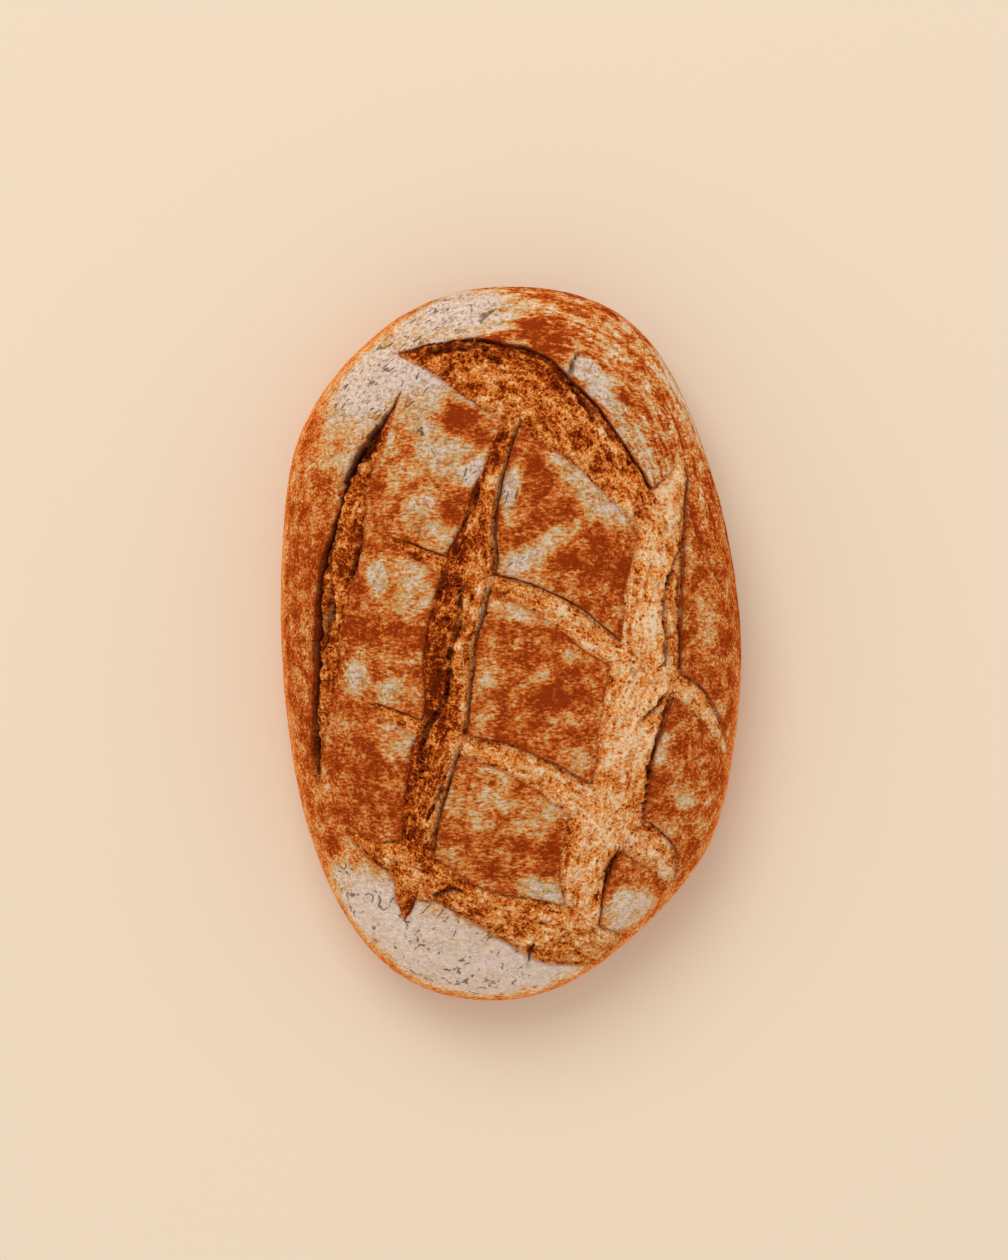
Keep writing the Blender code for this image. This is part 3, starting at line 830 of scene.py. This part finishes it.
def drawn_noise(tree, along, over, squeeze, **settings):
    """Noise over two of the skin's shades, drawn out along the first, which is squeezed to that share."""
    where = add_node(tree, "ShaderNodeCombineXYZ", {
        "X": product(tree, shade(tree, along), squeeze), "Y": shade(tree, over)})
    return noise_texture(tree, where.outputs[0], **settings)


def brushed_flour(tree):
    """Streaks that a brush left in the flour, round the loaf: noise drawn out along the outline."""
    settings = {"scale": 0.5, "detail": 4.0, "roughness": 0.6, "distortion": 0.6}
    return drawn_noise(tree, "around", "outward", squeeze=0.11, **settings)


def cloth_marks(tree, where):
    """Short dashes, in uneven staggered rows, that the proving cloth's weave left in the flour."""
    bend = add_node(tree, "ShaderNodeTexNoise", {"Vector": where, "Scale": 150.0, "Detail": 2.0})
    bend_reach = (0.006, 0.006, 0.0)
    waved = add_node(tree, "ShaderNodeVectorMath", {
        0: bend.outputs["Color"], 1: bend_reach, 2: where}, operation="MULTIPLY_ADD")
    bricks = add_node(tree, "ShaderNodeTexBrick", {
        "Vector": waved.outputs[0], "Scale": 1.0, "Mortar Size": 0.0006, "Mortar Smooth": 1.0,
        "Brick Width": 0.0036, "Row Height": 0.0024}, offset=0.5)
    lifted = calculated(tree, "SUBTRACT", 1.0, bricks.outputs["Fac"])
    seen = fading(tree, grain(tree, where, size_mm=4.0, detail=2.0), 0.44, 0.60)
    return product(tree, lifted, seen)


def flour_cracks(tree, where):
    """Short dark cracks in thick flour: contour lines of a noise that is drawn out to the upper right.

    They are kept where a second noise is high.
    """
    lean = math.radians(58)
    drawn = add_node(tree, "ShaderNodeMapping", {
        "Vector": where, "Rotation": (0.0, 0.0, lean), "Scale": (3.4, 1.0, 1.0)}, vector_type="TEXTURE")
    height = grain(tree, drawn.outputs[0], size_mm=5.0, detail=1.0, roughness=0.4)
    line = fading(tree, calculated(tree, "ABSOLUTE", centred(tree, height)), 0.045, 0.015)
    seen = fading(tree, grain(tree, where, size_mm=6.0, roughness=0.7), 0.53, 0.57)
    thick = fading(tree, shade(tree, "flour"), 0.35, 0.6)
    return product(tree, line, product(tree, seen, thick))


def flour_specks(tree, where):
    """Bare specks in the flour, where a fine noise is low."""
    bare = fading(tree, grain(tree, where, size_mm=1.7, roughness=0.75), 0.50, 0.36)
    return product(tree, bare, fading(tree, shade(tree, "flour"), 0.2, 0.7))


def crust_tone(tree, where):
    """Where the crust lies on the run of tones from darkest bake, 0, to thick flour, 1.

    Flour lightens it, and mottling, dashes, flecks, brush streaks and the cloth's marks vary it.
    """
    flour, side, brushed = (shade(tree, name) for name in ("flour", "side", "brushed"))
    mottle = centred(tree, grain(tree, where, size_mm=9.0, detail=5.0, roughness=0.68))
    mottling = product(tree, mottle, summed(tree, 2.0, (side, -1.2), (flour, -0.7)))
    drawn = add_node(tree, "ShaderNodeMapping", {"Vector": where, "Scale": (0.5, 1.0, 1.0)}).outputs[0]
    dashes = centred(tree, grain(tree, drawn, size_mm=1.1, detail=2.0, roughness=0.7))
    streaks = product(tree, centred(tree, brushed_flour(tree)), brushed)
    marks = product(tree, cloth_marks(tree, where), summed(tree, 0.10, (brushed, 0.2)))
    return summed(
        tree, 0.08, (flour, 0.85), (mottling, 1.1), (dashes, 1.5), (flecks(tree, drawn, 0.8), 0.30),
        (streaks, 1.8), (marks, 1.0), (side, 0.13), (shade(tree, "sole"), -0.12))


def flecks(tree, where, size_mm):
    """A crisp number from 0 to 1 for each small cell."""
    cells = add_node(tree, "ShaderNodeTexVoronoi", {"Vector": where, "Scale": 1.0 / (size_mm * MM)})
    return add_node(tree, "ShaderNodeSeparateColor", {"Color": cells.outputs["Color"]}).outputs[0]


def drawn_crumb(tree):
    """Torn dough's drawn-out strands: noise stretched along each tear."""
    return drawn_noise(tree, "along", "aside", squeeze=0.22, scale=0.55, detail=3.0, roughness=0.65)


def fine_pores(tree, where):
    """Small round pores: 1 near the middle of each cell of a cellular pattern."""
    cells = add_node(tree, "ShaderNodeTexVoronoi", {"Vector": where, "Scale": 380.0})
    return fading(tree, cells.outputs["Distance"], 0.34, 0.12)


def crust_look(tree, where, fine, colours):
    """The crust's tone, colour and fine height.

    Crust and flour share one run of tones. It is lighter below the crown and on the bare sides: painted
    light for the steep walls, which get less light. The flour's specks are fainter at the foot, and its
    cracks fade out on the right.
    """
    x, y, z = add_node(tree, "ShaderNodeSeparateXYZ", {"Vector": where}).outputs
    tone = crust_tone(tree, where)
    baked = ramp(tree, tone, (
        (0.00, colours.bake_dark), (0.24, colours.bake_red), (0.42, colours.bake_orange),
        (0.50, colours.flour_tan), (0.64, colours.flour_cream), (0.95, colours.flour_white)))
    lumps = grain(tree, where, size_mm=2.4, detail=4.0, roughness=0.78)
    # Painted light: the value is raised below the crown and on the bare low sides, where the steep walls get
    # less light; the lumps vary it at random
    painted_light_below_crown = fading(tree, z, 0.074, 0.052)
    brightness = summed(tree, 0.52, (lumps, 0.88), (painted_light_below_crown, 0.22), (shade(tree, "side"), 0.32))
    lit = add_node(tree, "ShaderNodeHueSaturation", {"Color": baked, "Value": brightness})

    above_foot = fading(tree, y, -0.12, 0.0)
    specks = product(tree, flour_specks(tree, where), summed(tree, 0.28, (above_foot, 0.47)))
    cracks = product(tree, flour_cracks(tree, where), fading(tree, x, 0.035, 0.005))
    colour = mixed(tree, specks, lit.outputs["Color"], opaque(colours.flour_shadow))
    colour = mixed(tree, product(tree, cracks, 0.75), colour, opaque(colours.flour_crack))
    coarse = grain(tree, where, size_mm=1.8, detail=2.0, roughness=0.7)
    return tone, colour, summed(tree, 0.0, (fine, 0.5), (coarse, 1.0), (cracks, -0.5), (specks, -0.3))


def crumb_look(tree, where, fine, colours):
    """The torn crumb's colour and fine height: a run of tones from pore to pale, lighter on the right."""
    x = add_node(tree, "ShaderNodeSeparateXYZ", {"Vector": where}).outputs["X"]
    crisp = grain(tree, where, size_mm=1.1, roughness=0.8)
    coarse = grain(tree, where, size_mm=6.5)
    pores = fine_pores(tree, where)
    # The pores also lower the tone: painted shade in the small hollows
    tone = summed(
        tree, -1.98, (crisp, 1.7), (coarse, 1.2), (drawn_crumb(tree), 1.25), (shade(tree, "pale"), 0.48),
        (shade(tree, "rough"), 0.13), (pores, -0.3), (flecks(tree, where, 0.8), 0.40),
        (fading(tree, x, -0.03, 0.04), 0.22))
    colour = ramp(tree, tone, (
        (0.00, colours.crumb_pore), (0.25, colours.crumb_brown), (0.46, colours.crumb_gold),
        (0.74, colours.crumb_cream), (1.00, colours.crumb_pale)))
    return colour, summed(tree, 0.0, (crisp, 1.4), (fine, 0.5), (pores, -0.4))


def crust_material(colours):
    """Baked crust, flour and torn crumb in one material, mixed by the skin's shades.

    Lips get a line that is partly their baked colour and partly painted shade, and crevices and rifts get
    painted shade of a deep red.
    """
    material = bpy.data.materials.new("baked_loaf")
    material.use_nodes = True
    tree = material.node_tree
    where = add_node(tree, "ShaderNodeTexCoord").outputs["Object"]
    torn = shade(tree, "torn")
    fine = grain(tree, where, size_mm=0.8, roughness=0.7)
    tone, crust, crust_height = crust_look(tree, where, fine, colours)
    crumb, crumb_height = crumb_look(tree, where, fine, colours)

    colour = mixed(tree, torn, crust, crumb)
    # The line at a tear's edge is partly the lip's baked colour and partly painted shade; the crevice colour
    # is painted shade
    for name, amount, darkest in (("edge", 0.7, colours.lip), ("painted_shade", 0.92, colours.crevice)):
        colour = mixed(tree, product(tree, shade(tree, name), amount), colour, opaque(darkest))
    height = add_node(tree, "ShaderNodeMix", {"Factor": torn, "A": crust_height, "B": crumb_height})
    bump = add_node(tree, "ShaderNodeBump", {
        "Height": height.outputs["Result"], "Distance": MM, "Strength": 1.0})
    shader = tree.nodes["Principled BSDF"]
    shader.inputs["Specular IOR Level"].default_value = 0.0
    tree.links.new(colour, shader.inputs["Base Color"])
    tree.links.new(summed(tree, 0.5, (tone, 0.3), (torn, 0.15)), shader.inputs["Roughness"])
    tree.links.new(bump.outputs["Normal"], shader.inputs["Normal"])
    return material


def share_setting(name, description, most):
    """A share of what is drawn, 1 unless the user changes it."""
    return FloatProperty(name=name, description=description, default=1.0, subtype="FACTOR",
                         min=0.0, max=most)


def colour_setting(name, description, default):
    """A colour that the user can change."""
    return FloatVectorProperty(name=name, description=description, default=default, subtype="COLOR",
                               size=3, min=0.0, max=1.0)


class LoafShape(bpy.types.PropertyGroup):
    """How boldly the loaf's skin is shaped."""

    ear_lift: share_setting("Ear lift", "Height of the lifted lips, as a share of the drawn ones", 1.5)
    overhang: share_setting("Overhang", "How far the lips reach over the tears, as a share", 2.0)
    crumb_depth: share_setting("Crumb depth", "Roughness of the torn dough, as a share", 2.0)


class LoafColours(bpy.types.PropertyGroup):
    """The colours of crust, flour and crumb."""

    bake_dark: colour_setting("Dark bake", "The crust's darkest spots", (0.27, 0.033, 0.004))
    bake_red: colour_setting("Red bake", "The crust where it caught the heat", (0.48, 0.090, 0.011))
    bake_orange: colour_setting("Orange bake", "The crust's sides", (0.64, 0.175, 0.032))
    flour_tan: colour_setting("Thin flour", "Crust showing through thin flour", (0.61, 0.260, 0.068))
    flour_cream: colour_setting("Cream flour", "Baked flour", (0.59, 0.355, 0.125))
    flour_white: colour_setting("White flour", "Thick flour", (0.70, 0.545, 0.445))
    flour_shadow: colour_setting("Speck", "Bare specks in the flour", (0.36, 0.17, 0.08))
    flour_crack: colour_setting("Flour crack", "Cracks in the flour", (0.11, 0.040, 0.018))
    # The lowest crumb tone, reached in its deepest grain and, as painted shade, in its pores
    crumb_pore: colour_setting("Crumb pore", "The torn crumb's pores", (0.15, 0.020, 0.003))
    crumb_brown: colour_setting("Crumb brown", "The torn crumb's darker grain", (0.45, 0.058, 0.005))
    crumb_gold: colour_setting("Crumb gold", "The torn crumb", (0.80, 0.205, 0.018))
    crumb_cream: colour_setting("Crumb cream", "The torn crumb's lighter grain", (0.95, 0.43, 0.12))
    crumb_pale: colour_setting("Crumb pale", "The palest crumb", (0.98, 0.73, 0.46))
    # Partly the lip's baked colour and partly painted shade at the tear's edge
    lip: colour_setting("Lip", "The baked edge of a lip", (0.24, 0.030, 0.004))
    # Painted shade: the colour laid in crevices and rifts, where shade falls
    crevice: colour_setting("Crevice", "The depth of a tear", (0.10, 0.012, 0.005))


class LOAF_OT_crust(bpy.types.Operator):
    """Make the loaf's skin, with its torn scores, and give it its crust"""

    bl_idname = "loaf.crust"
    bl_label = "Crust"

    def execute(self, context):
        points, faces, shades = loaf_skin(context.scene.loaf_shape)
        mesh = bpy.data.meshes.new("loaf_crust")
        mesh.from_pydata(points.tolist(), [], faces)
        for name, values in shades.items():
            layer = mesh.attributes.new(name, "FLOAT", "POINT")
            layer.data.foreach_set("value", values.astype(np.float32))
        mesh.shade_smooth()
        mesh.set_sharp_from_angle(angle=SHARP_ANGLE)
        mesh.materials.append(crust_material(context.scene.loaf_colours))
        skin = bpy.data.objects.new("loaf_crust", mesh)
        context.scene.collection.objects.link(skin)
        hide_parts("loaf")
        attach(skin, "root")
        return {"FINISHED"}


def area_light(scene, name, place, size, watts):
    """A square soft light that looks at the loaf."""
    light = bpy.data.objects.new(name, bpy.data.lights.new(name, "AREA"))
    light.data.size = size
    light.data.energy = watts
    light.location = place
    light.rotation_euler = (-Vector(place)).to_track_quat("-Z", "Y").to_euler()
    scene.collection.objects.link(light)


class LOAF_OT_stage(bpy.types.Operator):
    """Make the pale floor, the soft light and the camera straight above"""

    bl_idname = "loaf.stage"
    bl_label = "Stage"

    def execute(self, context):
        scene = context.scene
        mesh = bpy.data.meshes.new("floor")
        corners = [(x * FLOOR_HALF, y * FLOOR_HALF, 0) for x, y in ((-1, -1), (1, -1), (1, 1), (-1, 1))]
        mesh.from_pydata(corners, [], [(0, 1, 2, 3)])
        floor = bpy.data.objects.new("floor", mesh)
        scene.collection.objects.link(floor)
        material = bpy.data.materials.new("pale_floor")
        material.use_nodes = True
        shader = material.node_tree.nodes["Principled BSDF"]
        shader.inputs["Base Color"].default_value = opaque(FLOOR_COLOUR)
        shader.inputs["Roughness"].default_value = 0.9
        shader.inputs["Specular IOR Level"].default_value = 0.1
        mesh.materials.append(material)

        area_light(scene, "key", KEY_PLACE, KEY_SIZE, KEY_WATTS)
        world = bpy.data.worlds.new("studio")
        world.use_nodes = True
        background = world.node_tree.nodes["Background"]
        background.inputs["Color"].default_value = opaque(WORLD_COLOUR)
        background.inputs["Strength"].default_value = WORLD_STRENGTH
        scene.world = world
        scene.view_settings.view_transform = "Standard"

        camera = bpy.data.objects.new("camera", bpy.data.cameras.new("camera"))
        camera.data.lens = CAMERA_LENS
        camera.data.clip_start = 0.05
        camera.location = CAMERA_SHIFT + (CAMERA_HEIGHT,)
        scene.collection.objects.link(camera)
        scene.camera = camera
        return {"FINISHED"}


class LOAF_PT_panel(bpy.types.Panel):
    """The loaf's settings and steps"""

    bl_idname = "LOAF_PT_panel"
    bl_label = "Whole grain loaf"
    bl_space_type = "VIEW_3D"
    bl_region_type = "UI"
    bl_category = "Loaf"

    def draw(self, context):
        for group in (context.scene.loaf_shape, context.scene.loaf_colours):
            for name in group.__annotations__:
                self.layout.prop(group, name)
        for operator in (LOAF_OT_crust, LOAF_OT_stage):
            self.layout.operator(operator.bl_idname)


CLASSES = (LoafShape, LoafColours, LOAF_OT_crust, LOAF_OT_stage, LOAF_PT_panel)


def register():
    for item in CLASSES:
        bpy.utils.register_class(item)
    bpy.types.Scene.loaf_shape = PointerProperty(type=LoafShape)
    bpy.types.Scene.loaf_colours = PointerProperty(type=LoafColours)


def unregister():
    del bpy.types.Scene.loaf_colours
    del bpy.types.Scene.loaf_shape
    for item in reversed(CLASSES):
        bpy.utils.unregister_class(item)


def main():
    register()
    bpy.ops.loaf.crust()
    bpy.ops.loaf.stage()
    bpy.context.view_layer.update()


if __name__ == "__main__":
    main()
